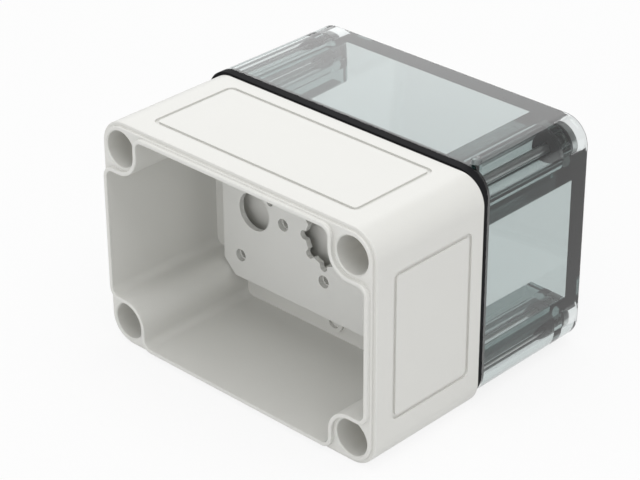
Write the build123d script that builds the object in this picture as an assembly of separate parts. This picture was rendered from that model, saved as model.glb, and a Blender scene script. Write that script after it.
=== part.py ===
from build123d import *
import math
import os

# A small polycarbonate enclosure standing on its long side, with its clear lid
# taken off and stood behind it. X runs along the long side, Z is up, and the
# base opens towards -Y. All sizes are in millimetres.

# Outer form, shared by the base and the lid
OUTER_WIDTH = 94.0
OUTER_HEIGHT = 65.0
CORNER_RADIUS = 7.5
WALL = 2.5
JUNCTION_RADIUS = 2.2

# Corner wells, which hold the lid screws outside the sealed space
WELL_INSET = 7.25
WELL_RADIUS = 5.0
WELL_DEPTH = 11.0
WELL_EDGE = 0.3
COLUMN_WALL = 1.8

# Base
BASE_DEPTH = 39.2
FLOOR = 2.0
LIP_HEIGHT = 1.2
LIP_WIDTH = 1.1
LIP_ROUND = 0.35
SHOULDER_WIDTH = 1.0
SHOULDER_DEPTH = 0.8
RIM_ROUND = 0.3
BACK_ROUND = 0.5

# Rectangular outlines engraved in the four sides of the base
FIELD_ON_LONG_SIDE = 69.8
FIELD_ON_SHORT_SIDE = 40.9
FIELD_FROM_RIM = 6.6
FIELD_LENGTH = 28.1
FIELD_LINE = 1.1
FIELD_LINE_DEPTH = 0.55
FIELD_CORNER = 2.0

# Mounting plate on its posts
PLATE_FROM_SIDES = 10.0
PLATE_FROM_TOP = 10.4
PLATE_THICKNESS = 1.5
PLATE_CLEARANCE = 0.3
PLATE_EDGE = 0.25
POST_HEIGHT = 3.3
POST_RADIUS = 3.4
PILOT_RADIUS = 1.45
PILOT_INTO_FLOOR = 1.0
FIXING_HOLE_RADIUS = 1.8
FIXING_FROM_PLATE_SIDES = 6.5
FIXING_FROM_PLATE_TOP = 7.0
SIDE_HOLES_SPACING = 29.0
MIDDLE_HOLES_SPACING = 22.6
UPPER_HOLES_X = 19.3
UPPER_HOLES_Z = 4.9
UPPER_HOLE_RADIUS = 1.1
ROUND_OPENING_RADIUS = 5.5
ROUND_OPENINGS_SPACING = 50.2
STAR_VALLEY_RADIUS = 6.4
STAR_TIP_RADIUS = 8.2
STAR_LOBES = 8
STAR_LOBE_WIDTH = 2.6
FLOOR_BOSS_RADIUS = 3.0
FLOOR_BOSS_Z = 25.0
FLOOR_BOSS_HEIGHT = 1.0
FLOOR_BOSS_HOLE_RADIUS = 1.9

# Self-tapping screws that hold the plate
TAPPER_HEAD_RADIUS = 2.8
TAPPER_HEAD_HEIGHT = 2.1
TAPPER_CLEARANCE = 0.05
TAPPER_LENGTH = 5.6
TAPPER_RECESS_LENGTH = 3.0
TAPPER_RECESS_WIDTH = 0.8
TAPPER_RECESS_DEPTH = 1.1

# Threaded brass inserts in the bottom of the base's wells
INSERT_RADIUS = 2.8
INSERT_LENGTH = 8.1
INSERT_FIT = 0.03
INSERT_GROOVE_DEPTH = 0.35
INSERT_GROOVE_LENGTH = 1.2

# Lid and its gasket
LID_DEPTH = 40.0
LID_FACE_WALL = 5.5
LID_EDGE_ROUND = 1.2
LID_POCKET_RADIUS = 4.6
LID_COLUMN_REACH = 8.0
LID_COLUMN_ROUND = 1.5
LID_JUNCTION_RADIUS = 0.5
GASKET = 2.4
GASKET_HOLE_RADIUS = 3.5
BEAD_INSET = 0.7
BEAD_WIDTH = 1.0
BEAD_HEIGHT = 1.1
BEAD_CLEARANCE = 0.05
LID_GAP = 0.2
PEG_RADIUS = 1.3
PEG_HEIGHT = 1.9
PEG_FROM_CORNER = 5.0
PEG_ROUND = 0.1

# The lid stands a little to the left of the base and a little higher
LID_ASIDE = 1.3
LID_UP = 0.35

# Captive lid screws, shown with their heads on their seats
MOUTH_DEPTH = 6.3
SEAT_WEB = 3.0
SCREW_PAST_RIM = 20.4
SHANK_INSIDE_RIM = 1.0
SHANK_RADIUS = 2.0
SHANK_POINT = 0.6
THREAD_CLEARANCE = 0.05
WAIST_RADIUS = 1.35
WAIST_CLEARANCE = 0.2
SEAT_HOLE_CLEARANCE = 0.25
REAR_POCKET_CLEARANCE = 0.45
HEAD_CLEARANCE = 0.4
HEAD_HEIGHT = 2.6
HEAD_ROUND = 0.9
RECESS_WIDTH = 1.3
RECESS_LENGTH = 5.0
RECESS_DEPTH = 1.6

# Retaining washers pressed in below the seats
WASHER_THICKNESS = 1.0
WASHER_FIT = 0.03

# Rubber rings under the screw heads
RING_SECTION = 0.6
RING_CLEARANCE = 0.05
RING_TO_HEAD_EDGE = 0.9

# Fits, from the piece that goes through or into each hole
INSERT_BORE = SHANK_RADIUS + THREAD_CLEARANCE
SEAT_HOLE_RADIUS = SHANK_RADIUS + SEAT_HOLE_CLEARANCE
REAR_POCKET_RADIUS = SHANK_RADIUS + math.hypot(LID_ASIDE, LID_UP) + REAR_POCKET_CLEARANCE
WASHER_BORE = WAIST_RADIUS + WAIST_CLEARANCE
HEAD_RADIUS = WELL_RADIUS - HEAD_CLEARANCE
RING_CENTRE = HEAD_RADIUS - RING_TO_HEAD_EDGE - RING_SECTION
TAPPER_SHANK_RADIUS = PILOT_RADIUS - TAPPER_CLEARANCE

# Places along Y
TOTAL_DEPTH = LIP_HEIGHT + BASE_DEPTH + LID_GAP + GASKET + LID_DEPTH
LIP_Y = -TOTAL_DEPTH / 2
RIM_Y = LIP_Y + LIP_HEIGHT
BACK_Y = RIM_Y + BASE_DEPTH
FLOOR_Y = BACK_Y - FLOOR
PLATE_BACK_Y = FLOOR_Y - POST_HEIGHT
PLATE_FRONT_Y = PLATE_BACK_Y - PLATE_THICKNESS
WELL_BOTTOM_Y = RIM_Y + WELL_DEPTH
INSERT_END_Y = WELL_BOTTOM_Y + INSERT_LENGTH
GASKET_Y = BACK_Y + LID_GAP
LID_RIM_Y = GASKET_Y + GASKET
LID_FACE_Y = LID_RIM_Y + LID_DEPTH
TIP_Y = LID_RIM_Y - SCREW_PAST_RIM
SHANK_TOP_Y = LID_RIM_Y + SHANK_INSIDE_RIM
SEAT_TOP_Y = LID_FACE_Y - MOUTH_DEPTH
SEAT_BOTTOM_Y = SEAT_TOP_Y - SEAT_WEB
WASHER_Y = SEAT_BOTTOM_Y - WASHER_THICKNESS
RING_Y = SEAT_TOP_Y + RING_CLEARANCE + RING_SECTION
HEAD_Y = RING_Y + RING_SECTION + RING_CLEARANCE
HEAD_TOP_Y = HEAD_Y + HEAD_HEIGHT

# Places across
MID_Z = OUTER_HEIGHT / 2
WELL_X = OUTER_WIDTH / 2 - WELL_INSET
WELL_Z = OUTER_HEIGHT / 2 - WELL_INSET
COLUMN_RADIUS = WELL_RADIUS + COLUMN_WALL
PLATE_WIDTH = OUTER_WIDTH - 2 * PLATE_FROM_SIDES
PLATE_HEIGHT = OUTER_HEIGHT - 2 * PLATE_FROM_TOP
FIXING_X = PLATE_WIDTH / 2 - FIXING_FROM_PLATE_SIDES
FIXING_Z = PLATE_HEIGHT / 2 - FIXING_FROM_PLATE_TOP
PLATE_CORNER_REACH = WELL_X + WELL_Z - (COLUMN_RADIUS + PLATE_CLEARANCE) * math.sqrt(2)
PLATE_CHAMFER = (PLATE_WIDTH + PLATE_HEIGHT) / 2 - PLATE_CORNER_REACH
CORNERS = [(-1, 1), (1, 1), (-1, -1), (1, -1)]

# How closely a point must lie on a line or plane to count as on it
NEAR = 0.01


def prism(profile, y_start, y_end):
    """A profile drawn across the box, as (X, height above the middle), run along Y."""
    plane = Plane(origin=(0, y_end, MID_Z), x_dir=(1, 0, 0), z_dir=(0, -1, 0))
    return extrude(plane * profile, amount=y_end - y_start)


def discs(radius, places, y_start, y_end):
    """Round rods along Y at places given as (X, height above the middle)."""
    return prism(Sketch() + [Pos(x, z) * Circle(radius) for x, z in places], y_start, y_end)


def turned(outline, place):
    """A body turned about a line along Y through a place, from (radius, Y) points."""
    face = make_face(Polyline(*outline, close=True))
    x, z = place
    return Pos(x, 0, MID_Z + z) * revolve(face, axis=Axis.Y)


def well_places():
    return [(side * WELL_X, level * WELL_Z) for side, level in CORNERS]


def outer_profile(inset=0.0):
    width = OUTER_WIDTH - 2 * inset
    height = OUTER_HEIGHT - 2 * inset
    return RectangleRounded(width, height, CORNER_RADIUS - inset)


def stepped_profile(grow, column_reach, column_round, junction_round):
    """The inside of the box, stepped in round the four corner columns."""
    reach_x = OUTER_WIDTH / 2 - WALL + grow
    reach_z = OUTER_HEIGHT / 2 - WALL + grow
    column_x = WELL_X - column_reach + grow
    column_z = WELL_Z - column_reach + grow
    cross = Rectangle(2 * column_x, 2 * reach_z) + Rectangle(2 * reach_x, 2 * column_z)
    inner = [v for v in cross.vertices() if abs(v.X) < column_x + NEAR and abs(v.Y) < column_z + NEAR]
    cross = fillet(inner, column_round)
    outer = [v for v in cross.vertices() if is_cross_corner(v, reach_x, reach_z, column_x, column_z)]
    return fillet(outer, junction_round)


def cavity_profile(grow=0.0):
    """The inside of the base, whose columns are round."""
    return stepped_profile(grow, COLUMN_RADIUS, COLUMN_RADIUS - grow, JUNCTION_RADIUS + grow)


def lid_cavity_profile():
    """The inside of the lid, whose columns are square blocks."""
    return stepped_profile(0, LID_COLUMN_REACH, LID_COLUMN_ROUND, LID_JUNCTION_RADIUS)


def is_cross_corner(vertex, reach_x, reach_z, column_x, column_z):
    at_side = abs(abs(vertex.X) - reach_x) < NEAR and abs(abs(vertex.Y) - column_z) < NEAR
    at_end = abs(abs(vertex.X) - column_x) < NEAR and abs(abs(vertex.Y) - reach_z) < NEAR
    return at_side or at_end


def edges_at(solid, y):
    """The edges of a solid that lie in one plane across Y."""
    return solid.edges().filter_by_position(Axis.Y, y - NEAR, y + NEAR)


def outermost(edges, inset=0.0):
    """Of some edges across Y, those on the outer contour of the box, drawn in by an inset."""
    half_x = OUTER_WIDTH / 2 - inset
    half_z = OUTER_HEIGHT / 2 - inset
    radius = CORNER_RADIUS - inset
    return [edge for edge in edges if on_contour(edge @ 0.5, half_x, half_z, radius)]


def on_contour(point, half_x, half_z, radius):
    x = abs(point.X)
    z = abs(point.Z - MID_Z)
    if x > half_x - radius and z > half_z - radius:
        reach = math.hypot(x - half_x + radius, z - half_z + radius)
        return abs(reach - radius) < NEAR
    return abs(x - half_x) < NEAR or abs(z - half_z) < NEAR


def field_lines():
    """The engraved outlines, as bodies to cut from the four sides."""
    y_middle = RIM_Y + FIELD_FROM_RIM + FIELD_LENGTH / 2
    cut = 2 * FIELD_LINE_DEPTH
    lines = Part()
    for width, half, turn in [
        (FIELD_ON_LONG_SIDE, OUTER_HEIGHT / 2, 0),
        (FIELD_ON_SHORT_SIDE, OUTER_WIDTH / 2, 90),
    ]:
        outline = RectangleRounded(width, FIELD_LENGTH, FIELD_CORNER)
        outline -= RectangleRounded(
            width - 2 * FIELD_LINE, FIELD_LENGTH - 2 * FIELD_LINE, FIELD_CORNER - FIELD_LINE
        )
        frame = Pos(0, y_middle, -cut / 2) * extrude(outline, amount=cut)
        for flip in (0, 180):
            lines += Pos(0, 0, MID_Z) * Rot(0, turn + flip, 0) * Pos(0, 0, half) * frame
    return lines


def fixing_places():
    """The plate's four fixing holes."""
    return [(side * FIXING_X, level * FIXING_Z) for side, level in CORNERS]


def device_places():
    """The plate's inner holes, one pair across and one pair up."""
    across = [(side * SIDE_HOLES_SPACING / 2, 0) for side in (-1, 1)]
    up = [(0, level * MIDDLE_HOLES_SPACING / 2) for level in (-1, 1)]
    return across + up


def upper_places():
    return [(side * UPPER_HOLES_X, UPPER_HOLES_Z) for side in (-1, 1)]


def base_shell():
    shell = prism(outer_profile(), RIM_Y, BACK_Y)
    shell = fillet(outermost(edges_at(shell, BACK_Y)), BACK_ROUND)
    cavity = cavity_profile()
    shell -= prism(cavity, RIM_Y, FLOOR_Y)
    shoulder = outer_profile() - outer_profile(SHOULDER_WIDTH)
    shell -= prism(shoulder, RIM_Y, RIM_Y + SHOULDER_DEPTH)
    shell = fillet(outermost(edges_at(shell, RIM_Y + SHOULDER_DEPTH)), RIM_ROUND)
    shell = fillet(outermost(edges_at(shell, RIM_Y), SHOULDER_WIDTH), RIM_ROUND)
    lip = prism(cavity_profile(LIP_WIDTH) - cavity, LIP_Y, RIM_Y)
    lip = fillet(edges_at(lip, LIP_Y), LIP_ROUND)
    shell += lip
    shell -= discs(WELL_RADIUS, well_places(), RIM_Y, WELL_BOTTOM_Y)
    shell = chamfer(well_mouths(shell, RIM_Y), WELL_EDGE)
    shell -= discs(INSERT_RADIUS + INSERT_FIT, well_places(), WELL_BOTTOM_Y, INSERT_END_Y)
    shell -= discs(REAR_POCKET_RADIUS, well_places(), INSERT_END_Y, BACK_Y)
    posts = fixing_places() + device_places()
    shell += discs(POST_RADIUS, posts, PLATE_BACK_Y, FLOOR_Y)
    bosses = [(0, level * FLOOR_BOSS_Z) for level in (-1, 1)]
    shell += discs(FLOOR_BOSS_RADIUS, bosses, FLOOR_Y - FLOOR_BOSS_HEIGHT, FLOOR_Y)
    shell -= discs(FLOOR_BOSS_HOLE_RADIUS, bosses, FLOOR_Y - FLOOR_BOSS_HEIGHT, FLOOR_Y)
    shell -= discs(PILOT_RADIUS, posts, PLATE_BACK_Y, FLOOR_Y + PILOT_INTO_FLOOR)
    return shell - field_lines()


def well_mouths(shell, y):
    """The round edges of the four wells, where they open at a plane across Y."""
    round_edges = [edge for edge in edges_at(shell, y) if edge.geom_type == GeomType.CIRCLE]
    return [edge for edge in round_edges if abs(edge.radius - WELL_RADIUS) < NEAR]


def star_profile():
    """The cog-shaped opening in the middle of the plate."""
    star = Circle(STAR_VALLEY_RADIUS)
    length = STAR_TIP_RADIUS - STAR_LOBE_WIDTH / 2
    lobe = Rectangle(length, STAR_LOBE_WIDTH, align=(Align.MIN, Align.CENTER))
    lobe += Pos(length, 0) * Circle(STAR_LOBE_WIDTH / 2)
    for number in range(STAR_LOBES):
        star += Rot(0, 0, number * 360 / STAR_LOBES) * lobe
    return star


def mounting_plate():
    outline = Rectangle(PLATE_WIDTH, PLATE_HEIGHT)
    outline = chamfer(outline.vertices(), PLATE_CHAMFER)
    plate = prism(outline, PLATE_FRONT_Y, PLATE_BACK_Y)
    plate = fillet(edges_at(plate, PLATE_FRONT_Y), PLATE_EDGE)
    plate -= prism(star_profile(), PLATE_FRONT_Y, PLATE_BACK_Y)
    screw_places = fixing_places() + device_places()
    plate -= discs(FIXING_HOLE_RADIUS, screw_places, PLATE_FRONT_Y, PLATE_BACK_Y)
    plate -= discs(UPPER_HOLE_RADIUS, upper_places(), PLATE_FRONT_Y, PLATE_BACK_Y)
    openings = [(side * ROUND_OPENINGS_SPACING / 2, 0) for side in (-1, 1)]
    return plate - discs(ROUND_OPENING_RADIUS, openings, PLATE_FRONT_Y, PLATE_BACK_Y)


def cross_profile(place, length, width):
    """The outline of a driver's cross recess at a place."""
    x, z = place
    return Pos(x, z) * (Rectangle(length, width) + Rectangle(width, length))


def plate_screw(place):
    head_y = PLATE_FRONT_Y - TAPPER_HEAD_HEIGHT
    tip_y = PLATE_FRONT_Y + TAPPER_LENGTH
    screw = discs(TAPPER_HEAD_RADIUS, [place], head_y, PLATE_FRONT_Y)
    screw = fillet(edges_at(screw, head_y), TAPPER_HEAD_HEIGHT / 2)
    screw += discs(TAPPER_SHANK_RADIUS, [place], PLATE_FRONT_Y, tip_y)
    screw = chamfer(edges_at(screw, tip_y), TAPPER_SHANK_RADIUS / 2)
    cross = cross_profile(place, TAPPER_RECESS_LENGTH, TAPPER_RECESS_WIDTH)
    return screw - prism(cross, head_y, head_y + TAPPER_RECESS_DEPTH)


def corner_insert(place):
    """A threaded bush with a waist that the moulding grips."""
    y_groove = WELL_BOTTOM_Y + (INSERT_LENGTH - INSERT_GROOVE_LENGTH) / 2
    waist = INSERT_RADIUS - INSERT_GROOVE_DEPTH
    outline = [
        (INSERT_BORE, WELL_BOTTOM_Y),
        (INSERT_RADIUS, WELL_BOTTOM_Y),
        (INSERT_RADIUS, y_groove),
        (waist, y_groove),
        (waist, y_groove + INSERT_GROOVE_LENGTH),
        (INSERT_RADIUS, y_groove + INSERT_GROOVE_LENGTH),
        (INSERT_RADIUS, INSERT_END_Y),
        (INSERT_BORE, INSERT_END_Y),
    ]
    return turned(outline, place)


def bead_profile(spare=0.0):
    """The gasket's bead, which follows the outer contour inside the lid's rim."""
    outside = outer_profile(BEAD_INSET - spare)
    return outside - outer_profile(BEAD_INSET + BEAD_WIDTH + spare)


def strap_peg():
    """The small peg that stands on the upper side of the lid beside its rim."""
    peg = Cylinder(PEG_RADIUS, WALL + PEG_HEIGHT, align=(Align.CENTER, Align.CENTER, Align.MIN))
    peg = fillet(peg.edges().sort_by(Axis.Z)[-1], PEG_ROUND)
    return Pos(OUTER_WIDTH / 2 - PEG_FROM_CORNER, LID_RIM_Y + PEG_RADIUS, OUTER_HEIGHT - WALL) * peg


def lid_shell():
    shell = prism(outer_profile(), LID_RIM_Y, LID_FACE_Y)
    shell = fillet(outermost(edges_at(shell, LID_FACE_Y)), LID_EDGE_ROUND)
    shell += strap_peg()
    shell -= prism(lid_cavity_profile(), LID_RIM_Y, LID_FACE_Y - LID_FACE_WALL)
    shell -= prism(bead_profile(BEAD_CLEARANCE), LID_RIM_Y, LID_RIM_Y + BEAD_HEIGHT + BEAD_CLEARANCE)
    shell -= discs(LID_POCKET_RADIUS, well_places(), LID_RIM_Y, SEAT_BOTTOM_Y)
    shell -= discs(SEAT_HOLE_RADIUS, well_places(), SEAT_BOTTOM_Y, SEAT_TOP_Y)
    shell -= discs(WELL_RADIUS, well_places(), SEAT_TOP_Y, LID_FACE_Y)
    return chamfer(well_mouths(shell, LID_FACE_Y), WELL_EDGE)


def lid_gasket():
    flat = outer_profile() - cavity_profile()
    flat -= Sketch() + [Pos(x, z) * Circle(GASKET_HOLE_RADIUS) for x, z in well_places()]
    return prism(flat, GASKET_Y, LID_RIM_Y) + prism(bead_profile(), LID_RIM_Y, LID_RIM_Y + BEAD_HEIGHT)


def lid_screw(place):
    """A captive screw: a thin waist between its shank and its head."""
    outline = [
        (0, TIP_Y),
        (SHANK_RADIUS - SHANK_POINT, TIP_Y),
        (SHANK_RADIUS, TIP_Y + SHANK_POINT),
        (SHANK_RADIUS, SHANK_TOP_Y),
        (WAIST_RADIUS, SHANK_TOP_Y),
        (WAIST_RADIUS, HEAD_Y),
        (HEAD_RADIUS, HEAD_Y),
        (HEAD_RADIUS, HEAD_TOP_Y),
        (0, HEAD_TOP_Y),
    ]
    screw = turned(outline, place)
    screw = fillet(edges_at(screw, HEAD_TOP_Y), HEAD_ROUND)
    cross = cross_profile(place, RECESS_LENGTH, RECESS_WIDTH)
    return screw - prism(cross, HEAD_TOP_Y - RECESS_DEPTH, HEAD_TOP_Y)


def retaining_washer(place):
    radius = LID_POCKET_RADIUS - WASHER_FIT
    washer = discs(radius, [place], WASHER_Y, SEAT_BOTTOM_Y)
    return washer - discs(WASHER_BORE, [place], WASHER_Y, SEAT_BOTTOM_Y)


def screw_ring(place):
    x, z = place
    section = Pos(RING_CENTRE, RING_Y) * Circle(RING_SECTION)
    return Pos(x, 0, MID_Z + z) * revolve(section, axis=Axis.Y)


def base_pieces():
    pieces = {"base_shell": base_shell(), "mounting_plate": mounting_plate()}
    top_left, _, _, bottom_right = fixing_places()
    for number, place in enumerate([top_left, bottom_right], start=1):
        pieces[f"plate_screw_{number}"] = plate_screw(place)
    for number, place in enumerate(well_places(), start=1):
        pieces[f"corner_insert_{number}"] = corner_insert(place)
    return pieces


def lid_pieces():
    pieces = {"lid_shell": lid_shell(), "lid_gasket": lid_gasket()}
    for number, place in enumerate(well_places(), start=1):
        pieces[f"lid_screw_{number}"] = lid_screw(place)
        pieces[f"retaining_washer_{number}"] = retaining_washer(place)
        pieces[f"screw_ring_{number}"] = screw_ring(place)
    return pieces


def all_pieces():
    """Every piece in its place, the base and the lid each half of their offset aside."""
    base = {name: Pos(LID_ASIDE / 2, 0, 0) * piece for name, piece in base_pieces().items()}
    lid = {name: Pos(-LID_ASIDE / 2, 0, LID_UP) * piece for name, piece in lid_pieces().items()}
    return base | lid


os.makedirs("parts", exist_ok=True)
for name, piece in all_pieces().items():
    piece.label = name
    export_step(piece, f"parts/{name}.step")
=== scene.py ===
import math

import bmesh
import bpy
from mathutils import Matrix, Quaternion, Vector


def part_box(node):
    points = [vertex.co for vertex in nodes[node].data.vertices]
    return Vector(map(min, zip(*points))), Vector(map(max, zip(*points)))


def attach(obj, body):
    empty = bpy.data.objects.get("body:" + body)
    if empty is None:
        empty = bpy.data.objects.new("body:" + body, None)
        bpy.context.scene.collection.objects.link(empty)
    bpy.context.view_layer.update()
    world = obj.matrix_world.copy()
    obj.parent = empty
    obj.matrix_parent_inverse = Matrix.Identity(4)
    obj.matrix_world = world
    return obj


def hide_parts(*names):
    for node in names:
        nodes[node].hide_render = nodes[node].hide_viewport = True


# A small light grey polycarbonate enclosure on its long side, with its clear lid
# stood behind it. Sizes are in metres.
MM = 0.001

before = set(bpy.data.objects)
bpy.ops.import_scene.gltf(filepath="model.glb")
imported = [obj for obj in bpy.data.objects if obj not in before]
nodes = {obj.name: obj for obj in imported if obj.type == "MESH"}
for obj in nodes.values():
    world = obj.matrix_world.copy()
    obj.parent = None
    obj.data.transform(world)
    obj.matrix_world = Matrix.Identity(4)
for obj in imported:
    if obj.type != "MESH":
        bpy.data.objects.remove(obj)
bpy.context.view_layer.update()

# Camera
CAMERA_PLACE = Vector((0.34235, -0.36745, 0.30977))
CAMERA_DIRECTION = Vector((-0.6030, 0.6322, -0.4864))
CAMERA_ROLL = -0.0047
LENS = 124.88
SENSOR_WIDTH = 36.0
CLIP_START = 0.01

# Studio
FLOOR_SIZE = 6.0
FLOOR_COLOUR = (0.82, 0.82, 0.82)
FLOOR_CLOUD = 0.5
FLOOR_WHITE_SHARE = 0.86
ROOM_LIGHT = 0.73
ROOM_FOR_RAYS = (("Is Glossy Ray", 0.75), ("Is Transmission Ray", 0.13), ("Is Camera Ray", 1.0))
LAMPS = {
    "overhead_lamp": {"place": (0.3, 0.0, 1.3), "size": 1.2, "power": 7.4, "for_diffuse": True},
    "front_lamp": {"place": (0.4, -1.4, 0.5), "size": 0.9, "power": 3.1, "for_diffuse": True},
    "gloss_panel": {"place": (-0.95, 1.02, 0.84), "size": 1.2, "power": 6.5, "for_diffuse": False},
}
LAMP_TARGET = (0, 0, 0.03)

# Colours as the surfaces show them in plain light
BASE_GREY = (0.69, 0.688, 0.658)
PLATE_GREY = (0.72, 0.722, 0.70)
LID_SMOKE = (0.288, 0.414, 0.404)
LID_SMOKE_DENSITY = 122.0
POLYCARBONATE_REFRACTION = 1.585
RUBBER_BLACK = (0.012, 0.012, 0.013)
ZINC = (0.62, 0.62, 0.60)
BRASS = (0.72, 0.55, 0.27)
STAINLESS = (0.78, 0.78, 0.77)
WASHER_BLACK = (0.02, 0.02, 0.022)
NOISE_ROUGHNESS = 0.55

# Lid mesh: corners closer than this are one, and edges flatter than this are smooth
MERGE_DISTANCE = 0.0005 * MM
SMOOTH_BELOW = math.radians(30)

# Thread ridges, and how far inside the piece's first end they start
SCREW_THREAD = {"Radius": 1.97 * MM, "Length": 9.1 * MM, "Turns": 13.0, "Ridge": 0.2 * MM}
SCREW_THREAD_START = 0.8 * MM
INSERT_THREAD = {"Radius": 2.08 * MM, "Length": 7.0 * MM, "Turns": 10.0, "Ridge": 0.22 * MM}
INSERT_THREAD_START = 0.4 * MM
RIDGE_POINTS_PER_TURN = 28
RIDGE_SIDES = 4

# Light paths through the clear lid
BOUNCES = 32
CLEAR_BOUNCES = 24

# Places of a Mix node's two values, for numbers and for colours
MIX_NUMBERS = (2, 3)
MIX_COLOURS = (6, 7)


class Socket:
    """A value that varies over a surface. Its operators add Math nodes to its finish."""

    def __init__(self, finish, link):
        self.finish = finish
        self.link = link

    def __add__(self, other):
        return self.finish.math("ADD", self, other)

    def __sub__(self, other):
        return self.finish.math("SUBTRACT", self, other)

    def __rsub__(self, other):
        return self.finish.math("SUBTRACT", other, self)

    def __mul__(self, other):
        return self.finish.math("MULTIPLY", self, other)

    __radd__ = __add__
    __rmul__ = __mul__


class Finish:
    """A material with one main shader."""

    def __init__(self, name):
        self.material = bpy.data.materials.new(name)
        self.material.use_nodes = True
        self.tree = self.material.node_tree
        self.tree.nodes.clear()
        self.output = self.tree.nodes.new("ShaderNodeOutputMaterial")
        self.shader = self.tree.nodes.new("ShaderNodeBsdfPrincipled")
        self.tree.links.new(self.shader.outputs["BSDF"], self.output.inputs["Surface"])

    def give(self, socket, value):
        if isinstance(value, Socket):
            self.tree.links.new(value.link, socket)
        elif isinstance(value, tuple) and len(value) == 3 and socket.type == "RGBA":
            socket.default_value = (*value, 1.0)
        else:
            socket.default_value = value

    def node(self, kind, settings=None, **inputs):
        """Adds a node. Input names have underscores for spaces."""
        new = self.tree.nodes.new(kind)
        for key, value in (settings or {}).items():
            setattr(new, key, value)
        for key, value in inputs.items():
            self.give(new.inputs[key.replace("_", " ")], value)
        return new

    def math(self, operation, *values):
        new = self.tree.nodes.new("ShaderNodeMath")
        new.operation = operation
        for socket, value in zip(new.inputs, values):
            self.give(socket, value)
        return Socket(self, new.outputs[0])

    def place(self):
        return Socket(self, self.node("ShaderNodeTexCoord").outputs["Object"])

    def noise(self, size, detail=3.0):
        """Noise from 0 to 1 whose lumps are about as large as a size in metres."""
        new = self.node("ShaderNodeTexNoise", Vector=self.place(), Scale=1 / size, Detail=detail,
                        Roughness=NOISE_ROUGHNESS)
        return Socket(self, new.outputs["Fac"])

    def between(self, factor, *colours):
        """A colour between two colours."""
        new = self.node("ShaderNodeMix", {"data_type": "RGBA"}, Factor=factor)
        for place, colour in zip(MIX_COLOURS, colours):
            self.give(new.inputs[place], colour)
        return Socket(self, new.outputs[2])

    def bump(self, height, depth):
        """A normal from a height between 0 and 1 that stands for a depth in metres."""
        new = self.node("ShaderNodeBump", Height=height, Strength=1.0, Distance=depth)
        return Socket(self, new.outputs["Normal"])

    def main(self, **values):
        """Sets the main shader's values and gives the finished material."""
        for key, value in values.items():
            self.give(self.shader.inputs[key.replace("_", " ")], value)
        return self.material


def shade(colour, factor):
    return tuple(channel * factor for channel in colour)


def moulded_plastic(name, colour, roughness, grain=0.35 * MM):
    """Spark-eroded satin plastic with a fine even grain."""
    finish = Finish(name)
    cloud = finish.noise(18 * MM, 2.0)
    fine = finish.noise(grain, 2.0)
    return finish.main(
        Base_Color=finish.between(cloud, shade(colour, 0.985), shade(colour, 1.015)),
        Roughness=roughness + 0.06 * (fine - 0.5),
        IOR=POLYCARBONATE_REFRACTION,
        Normal=finish.bump(fine, 0.012 * MM),
    )


def clear_lid():
    """Clear smoky polycarbonate, tinted through its thickness."""
    finish = Finish("clear_polycarbonate")
    cloud = finish.noise(9 * MM, 2.0)
    material = finish.main(
        Base_Color=(1.0, 1.0, 1.0),
        Roughness=0.004 + 0.012 * cloud,
        IOR=POLYCARBONATE_REFRACTION,
        Transmission_Weight=1.0,
    )
    smoke = finish.node("ShaderNodeVolumeAbsorption", Color=LID_SMOKE, Density=LID_SMOKE_DENSITY)
    finish.tree.links.new(smoke.outputs["Volume"], finish.output.inputs["Volume"])
    return material


def rubber(name, colour):
    """Dull black elastomer with a fine skin."""
    finish = Finish(name)
    cloud = finish.noise(2.5 * MM, 3.0)
    fine = finish.noise(0.12 * MM, 2.0)
    return finish.main(
        Base_Color=finish.between(cloud, colour, shade(colour, 1.6)),
        Roughness=0.55 + 0.12 * cloud,
        Specular_IOR_Level=0.03,
        Normal=finish.bump(fine, 0.008 * MM),
    )


def metal(name, colour, roughness):
    """Turned metal with a slightly uneven sheen."""
    finish = Finish(name)
    cloud = finish.noise(1.3 * MM, 3.0)
    fine = finish.noise(0.09 * MM, 2.0)
    return finish.main(
        Base_Color=finish.between(cloud, shade(colour, 0.88), colour),
        Metallic=1.0,
        Roughness=roughness + 0.12 * fine,
        Normal=finish.bump(fine, 0.004 * MM),
    )


def set_material(piece, material):
    piece.data.materials.clear()
    piece.data.materials.append(material)


def smooth_copy(node, name):
    """A CAD piece's mesh again, joined at its edges and smooth over its rounds."""
    mesh = nodes[node].data.copy()
    work = bmesh.new()
    work.from_mesh(mesh)
    bmesh.ops.remove_doubles(work, verts=work.verts, dist=MERGE_DISTANCE)
    for face in work.faces:
        face.smooth = True
    work.to_mesh(mesh)
    work.free()
    mesh.name = name
    piece = bpy.data.objects.new(name, mesh)
    bpy.context.scene.collection.objects.link(piece)
    if "custom_normal" in mesh.attributes:
        mesh.attributes.remove(mesh.attributes["custom_normal"])
    mesh.set_sharp_from_angle(angle=SMOOTH_BELOW)
    return piece


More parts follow.
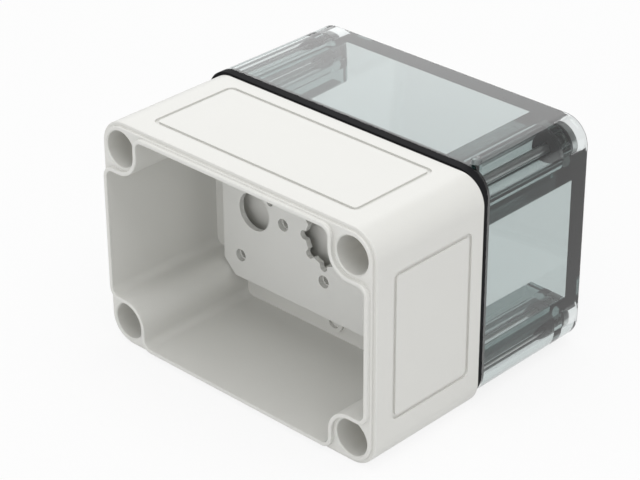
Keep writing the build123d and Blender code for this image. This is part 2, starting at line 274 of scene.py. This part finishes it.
def finish_pieces():
    """Gives each piece of the model its material."""
    base_plastic = moulded_plastic("light_grey_polycarbonate", BASE_GREY, 0.42)
    plate_plastic = moulded_plastic("plate_plastic", PLATE_GREY, 0.5)
    washer_plastic = moulded_plastic("black_polyamide", WASHER_BLACK, 0.4, 0.2 * MM)
    gasket_rubber = rubber("gasket_rubber", RUBBER_BLACK)
    steel = metal("zinc_plated_steel", ZINC, 0.26)
    brass = metal("turned_brass", BRASS, 0.24)
    stainless = metal("stainless_steel", STAINLESS, 0.34)
    kinds = {
        "base_shell": base_plastic,
        "mounting_plate": plate_plastic,
        "lid_gasket": gasket_rubber,
        "plate_screw": steel,
        "corner_insert": brass,
        "lid_screw": stainless,
        "retaining_washer": washer_plastic,
        "screw_ring": gasket_rubber,
    }
    for name, node in nodes.items():
        for kind, material in kinds.items():
            if name.startswith(kind):
                set_material(node, material)
    lid = smooth_copy("lid_shell", "clear_lid")
    set_material(lid, clear_lid())
    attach(lid, "lid")
    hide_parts("lid_shell")
    screw_and_insert_threads(stainless, brass)


def screw_thread_tree():
    """One helical ridge along +Y on each vertex of the mesh that it is given."""
    tree = bpy.data.node_groups.new("screw_thread", "GeometryNodeTree")
    tree.interface.new_socket("Places", in_out="INPUT", socket_type="NodeSocketGeometry")
    for size in SCREW_THREAD:
        tree.interface.new_socket(size, in_out="INPUT", socket_type="NodeSocketFloat")
    tree.interface.new_socket("Material", in_out="INPUT", socket_type="NodeSocketMaterial")
    tree.interface.new_socket("Mesh", in_out="OUTPUT", socket_type="NodeSocketGeometry")

    def add(kind, links):
        node = tree.nodes.new(kind)
        for key, value in links.items():
            if isinstance(value, bpy.types.NodeSocket):
                tree.links.new(value, node.inputs[key])
            else:
                node.inputs[key].default_value = value
        return node

    given = add("NodeGroupInput", {}).outputs
    spiral = add("GeometryNodeCurveSpiral", {
        "Resolution": RIDGE_POINTS_PER_TURN, "Rotations": given["Turns"], "Start Radius": given["Radius"],
        "End Radius": given["Radius"], "Height": given["Length"], "Reverse": False,
    })
    profile = add("GeometryNodeCurvePrimitiveCircle", {
        "Resolution": RIDGE_SIDES, "Radius": given["Ridge"],
    })
    ridge = add("GeometryNodeCurveToMesh", {
        "Curve": spiral.outputs["Curve"], "Profile Curve": profile.outputs["Curve"], "Fill Caps": True,
    })
    along = add("GeometryNodeTransform", {
        "Geometry": ridge.outputs["Mesh"], "Rotation": (-math.pi / 2, 0.0, 0.0),
    })
    placed = add("GeometryNodeInstanceOnPoints", {"Points": given["Places"], "Instance": along.outputs[0]})
    real = add("GeometryNodeRealizeInstances", {"Geometry": placed.outputs[0]})
    coated = add("GeometryNodeSetMaterial", {"Geometry": real.outputs[0], "Material": given["Material"]})
    add("NodeGroupOutput", {"Mesh": coated.outputs[0]})
    return tree


def threads(name, tree, places, material, **sizes):
    """Threads at places along the box, as one plain mesh."""
    seed = bpy.data.meshes.new(name + "_places")
    seed.from_pydata(places, [], [])
    item = bpy.data.objects.new(name + "_places", seed)
    bpy.context.scene.collection.objects.link(item)
    modifier = item.modifiers.new("thread", "NODES")
    modifier.node_group = tree
    for socket in tree.interface.items_tree:
        if socket.in_out == "INPUT" and socket.name in sizes:
            modifier[socket.identifier] = sizes[socket.name]
        elif socket.in_out == "INPUT" and socket.name == "Material":
            modifier[socket.identifier] = material
    graph = bpy.context.evaluated_depsgraph_get()
    mesh = bpy.data.meshes.new_from_object(item.evaluated_get(graph))
    bpy.data.objects.remove(item)
    mesh.name = name
    piece = bpy.data.objects.new(name, mesh)
    bpy.context.scene.collection.objects.link(piece)
    return piece


def thread_place(node, start):
    """The point on a round piece's axis that is a distance inside its end near the front."""
    low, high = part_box(node)
    return ((low[0] + high[0]) / 2, low[1] + start, (low[2] + high[2]) / 2)


def screw_and_insert_threads(stainless, brass):
    """Ridges on each lid screw, which ride with it, and in the four inserts of the base."""
    tree = screw_thread_tree()
    for number in range(1, 5):
        place = thread_place(f"lid_screw_{number}", SCREW_THREAD_START)
        ridge = threads(f"screw_thread_{number}", tree, [place], stainless, **SCREW_THREAD)
        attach(ridge, f"screw_{number}")
    places = [thread_place(f"corner_insert_{number}", INSERT_THREAD_START) for number in range(1, 5)]
    ridges = threads("insert_threads", tree, places, brass, **INSERT_THREAD)
    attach(ridges, "base")


def white_for_looks(finish):
    """1 where a ray from the camera, a gloss or a clear piece meets the surface."""
    path = finish.node("ShaderNodeLightPath")
    seen = Socket(finish, path.outputs["Is Camera Ray"])
    gloss = Socket(finish, path.outputs["Is Glossy Ray"])
    through = Socket(finish, path.outputs["Is Transmission Ray"])
    return finish.math("MINIMUM", seen + gloss + through, 1.0)


def studio_floor():
    """A wide floor that looks almost white and still takes the box's soft shadow."""
    finish = Finish("studio_floor")
    cloud = finish.noise(FLOOR_CLOUD, 2.0)
    finish.main(
        Base_Color=finish.between(cloud, shade(FLOOR_COLOUR, 0.99), FLOOR_COLOUR),
        Roughness=0.9,
        Specular_IOR_Level=0.0,
    )
    white = finish.node("ShaderNodeEmission", Color=(1.0, 1.0, 1.0), Strength=1.0)
    mix = finish.node("ShaderNodeMixShader")
    finish.give(mix.inputs[0], white_for_looks(finish) * FLOOR_WHITE_SHARE)
    finish.tree.links.new(finish.shader.outputs["BSDF"], mix.inputs[1])
    finish.tree.links.new(white.outputs["Emission"], mix.inputs[2])
    finish.tree.links.new(mix.outputs[0], finish.output.inputs["Surface"])
    mesh = bpy.data.meshes.new("studio_floor")
    half = FLOOR_SIZE / 2
    corners = [(-half, -half, 0), (half, -half, 0), (half, half, 0), (-half, half, 0)]
    mesh.from_pydata(corners, [], [(0, 1, 2, 3)])
    floor = bpy.data.objects.new("studio_floor", mesh)
    bpy.context.scene.collection.objects.link(floor)
    set_material(floor, finish.material)


def room():
    """White for the camera, dimmer for gloss and through the clear lid, a plain light elsewhere."""
    world = bpy.data.worlds.new("room")
    bpy.context.scene.world = world
    world.use_nodes = True
    tree = world.node_tree
    back = tree.nodes["Background"]
    path = tree.nodes.new("ShaderNodeLightPath")
    level = tree.nodes.new("ShaderNodeValue").outputs[0]
    level.default_value = ROOM_LIGHT
    for ray, strength in ROOM_FOR_RAYS:
        mix = tree.nodes.new("ShaderNodeMix")
        tree.links.new(path.outputs[ray], mix.inputs["Factor"])
        tree.links.new(level, mix.inputs[MIX_NUMBERS[0]])
        mix.inputs[MIX_NUMBERS[1]].default_value = strength
        level = mix.outputs[0]
    tree.links.new(level, back.inputs["Strength"])
    back.inputs["Color"].default_value = (1.0, 1.0, 1.0, 1.0)


def lamps():
    """Soft square lamps. One without diffuse light shows only as gloss."""
    for name, lamp in LAMPS.items():
        data = bpy.data.lights.new(name, "AREA")
        data.size = lamp["size"]
        data.energy = lamp["power"]
        item = bpy.data.objects.new(name, data)
        item.location = lamp["place"]
        item.visible_diffuse = lamp["for_diffuse"]
        item.visible_transmission = lamp["for_diffuse"]
        aim = Vector(LAMP_TARGET) - Vector(lamp["place"])
        item.rotation_euler = aim.to_track_quat("-Z", "Y").to_euler()
        bpy.context.scene.collection.objects.link(item)


def camera():
    """The camera that stands as the photograph's did."""
    data = bpy.data.cameras.new("camera")
    data.lens = LENS
    data.sensor_width = SENSOR_WIDTH
    data.sensor_fit = "HORIZONTAL"
    data.clip_start = CLIP_START
    item = bpy.data.objects.new("camera", data)
    item.location = CAMERA_PLACE
    turn = CAMERA_DIRECTION.to_track_quat("-Z", "Y") @ Quaternion((0, 0, 1), CAMERA_ROLL)
    item.rotation_euler = turn.to_euler()
    bpy.context.scene.collection.objects.link(item)
    bpy.context.scene.camera = item


def render_depth():
    """Enough bounces for light that runs along inside the clear lid."""
    cycles = bpy.context.scene.cycles
    cycles.max_bounces = BOUNCES
    cycles.glossy_bounces = CLEAR_BOUNCES
    cycles.transmission_bounces = CLEAR_BOUNCES
    bpy.context.scene.view_settings.view_transform = "Standard"


camera()
room()
lamps()
studio_floor()
finish_pieces()
render_depth()
